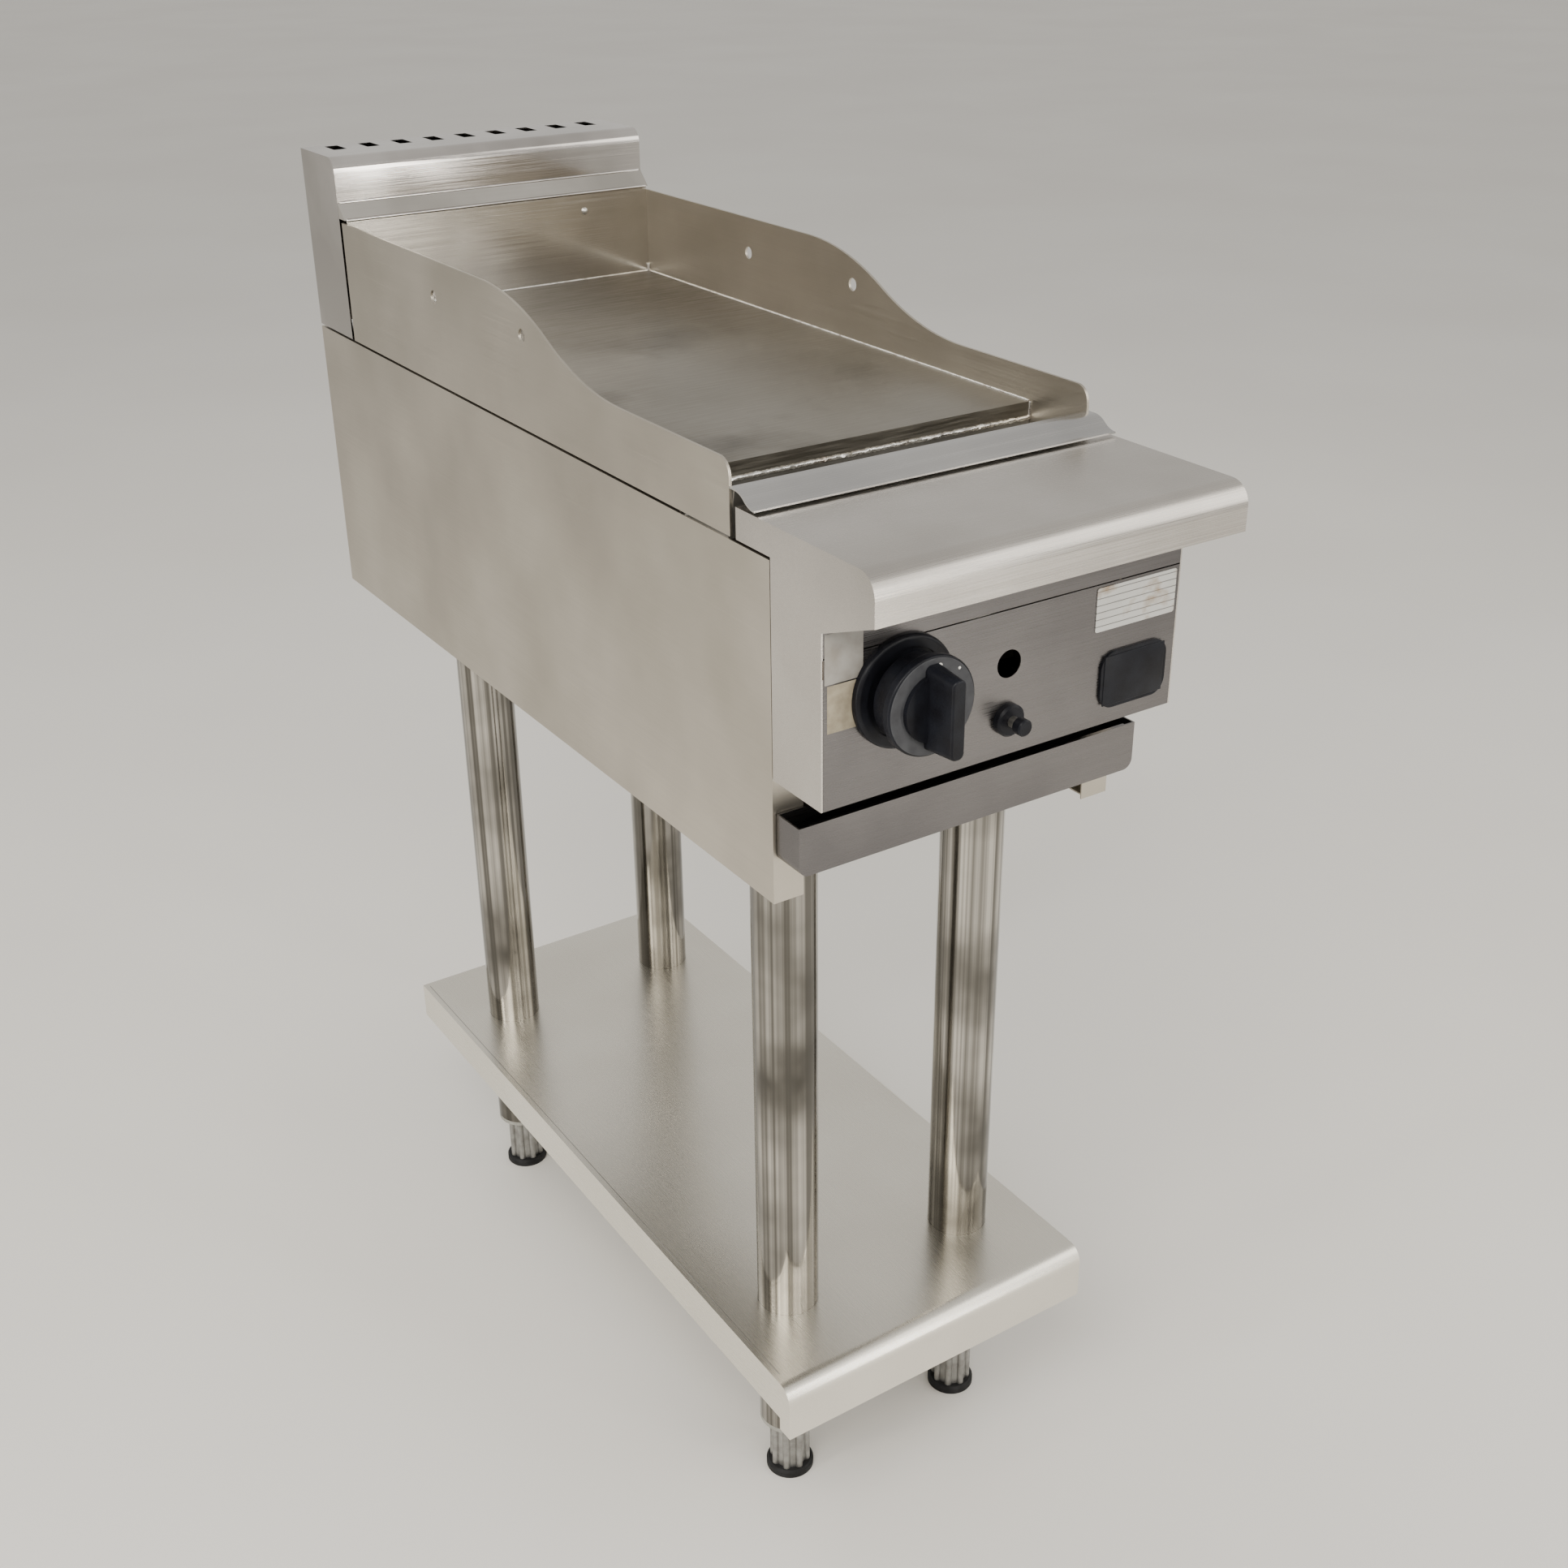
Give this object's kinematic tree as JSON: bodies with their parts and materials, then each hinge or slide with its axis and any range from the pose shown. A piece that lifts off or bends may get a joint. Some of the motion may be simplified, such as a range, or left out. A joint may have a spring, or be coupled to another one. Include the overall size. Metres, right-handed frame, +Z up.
{
  "type": "flat top griddle",
  "caption": "Narrow gas flat top griddle on four round legs with splash guards, rear flue, bullnose ledge, grease drawer, undershelf and adjustable feet.",
  "frame": {"origin": "on the floor under the middle of the bounding box", "axes": "+X to the right seen from the front, +Y to the back, +Z up; the controls face -Y"},
  "size_m": [0.3, 0.876, 1.033],
  "materials": {
    "stainless_satin": "brushed satin, slightly warm",
    "stainless_bright": "polished along its length",
    "ground_plate_steel": "ground mild steel plate, seasoned",
    "black_plastic": "fine moulded grain",
    "label_silver": "matt printed foil, blank",
    "foot_black": "matt",
    "cast_alloy": "die cast",
    "brass": "machined",
    "burner_steel": "heat stained",
    "copper_pipe": "drawn tube",
    "gas_pipe": "painted steel pipe",
    "ceramic_white": "glazed ceramic",
    "zinc_steel": "zinc plated"
  },
  "bodies": {
    "root": {"air_shutter": "burner_steel", "back_panel": "stainless_satin", "badge_plate": "black_plastic", "bulkhead": "burner_steel", "burner": "burner_steel", "burner_brackets": "burner_steel", "collar_screws": "zinc_steel", "control_panel": "stainless_satin", "drain_spout": "zinc_steel", "fascia_strip": "stainless_satin", "feed_pipe": "copper_pipe", "flame_probe": "copper_pipe", "flue_cover": "stainless_bright", "foot_inserts": "zinc_steel", "front_ledge": "stainless_satin", "front_lip": "stainless_bright", "gas_inlet": "brass", "gas_valve": "cast_alloy", "grease_trough": "stainless_satin", "griddle_plate": "ground_plate_steel", "heat_shield": "burner_steel", "igniter_collar": "black_plastic", "injector": "brass", "knob_bezel": "black_plastic", "leg_front_left": "stainless_bright", "leg_front_right": "stainless_bright", "leg_rails": "zinc_steel", "leg_rear_left": "stainless_bright", "leg_rear_right": "stainless_bright", "piezo_body": "black_plastic", "pilot_bracket": "burner_steel", "pilot_burner": "zinc_steel", "rating_plate": "label_silver", "rear_splash": "stainless_satin", "sheet_screws": "zinc_steel", "shelf_collars": "zinc_steel", "shelf_rails": "zinc_steel", "side_panel_left": "stainless_satin", "side_panel_right": "stainless_satin", "spark_electrode": "ceramic_white", "splash_guard_left": "stainless_satin", "splash_guard_right": "stainless_satin", "supply_pipe": "gas_pipe", "tray_runners": "zinc_steel", "undershelf": "stainless_satin"},
    "tap_push": {"thrust_ring": "brass"},
    "knob": {"gas_knob": "black_plastic", "valve_spindle": "stainless_bright"},
    "igniter_button": {"button_stem": "stainless_bright", "button_cap": "black_plastic"},
    "grease_drawer": {"tray_front": "stainless_satin", "grease_tray": "stainless_satin"},
    "foot_front_left": {"foot_body_front_left": "cast_alloy", "foot_pad_front_left": "foot_black"},
    "foot_front_right": {"foot_body_front_right": "cast_alloy", "foot_pad_front_right": "foot_black"},
    "foot_rear_left": {"foot_body_rear_left": "cast_alloy", "foot_pad_rear_left": "foot_black"},
    "foot_rear_right": {"foot_body_rear_right": "cast_alloy", "foot_pad_rear_right": "foot_black"}
  },
  "joints": [
    {"name": "tap_push_in", "type": "slide", "parent": "root", "child": "tap_push", "axis": [0, 1, 0], "range_m": [0, 0.003], "stiffness_N_per_m": 1500, "springref_m": -0.003},
    {"name": "knob_turn", "type": "hinge", "parent": "tap_push", "child": "knob", "pos_m": [-0.088, -0.411, 0.7935], "axis": [0, -1, 0], "range_deg": [0, 210]},
    {"name": "igniter_push", "type": "slide", "parent": "root", "child": "igniter_button", "axis": [0, 1, 0], "range_m": [0, 0.005], "stiffness_N_per_m": 1200, "springref_m": -0.003},
    {"name": "grease_drawer_slide", "type": "slide", "parent": "root", "child": "grease_drawer", "axis": [0, -1, 0], "range_m": [0, 0.32]},
    {"name": "foot_front_left_height", "type": "slide", "parent": "root", "child": "foot_front_left", "axis": [0, 0, -1], "range_m": [0, 0.025]},
    {"name": "foot_front_right_height", "type": "slide", "parent": "root", "child": "foot_front_right", "axis": [0, 0, -1], "range_m": [0, 0.025]},
    {"name": "foot_rear_left_height", "type": "slide", "parent": "root", "child": "foot_rear_left", "axis": [0, 0, -1], "range_m": [0, 0.025]},
    {"name": "foot_rear_right_height", "type": "slide", "parent": "root", "child": "foot_rear_right", "axis": [0, 0, -1], "range_m": [0, 0.025]}
  ]
}
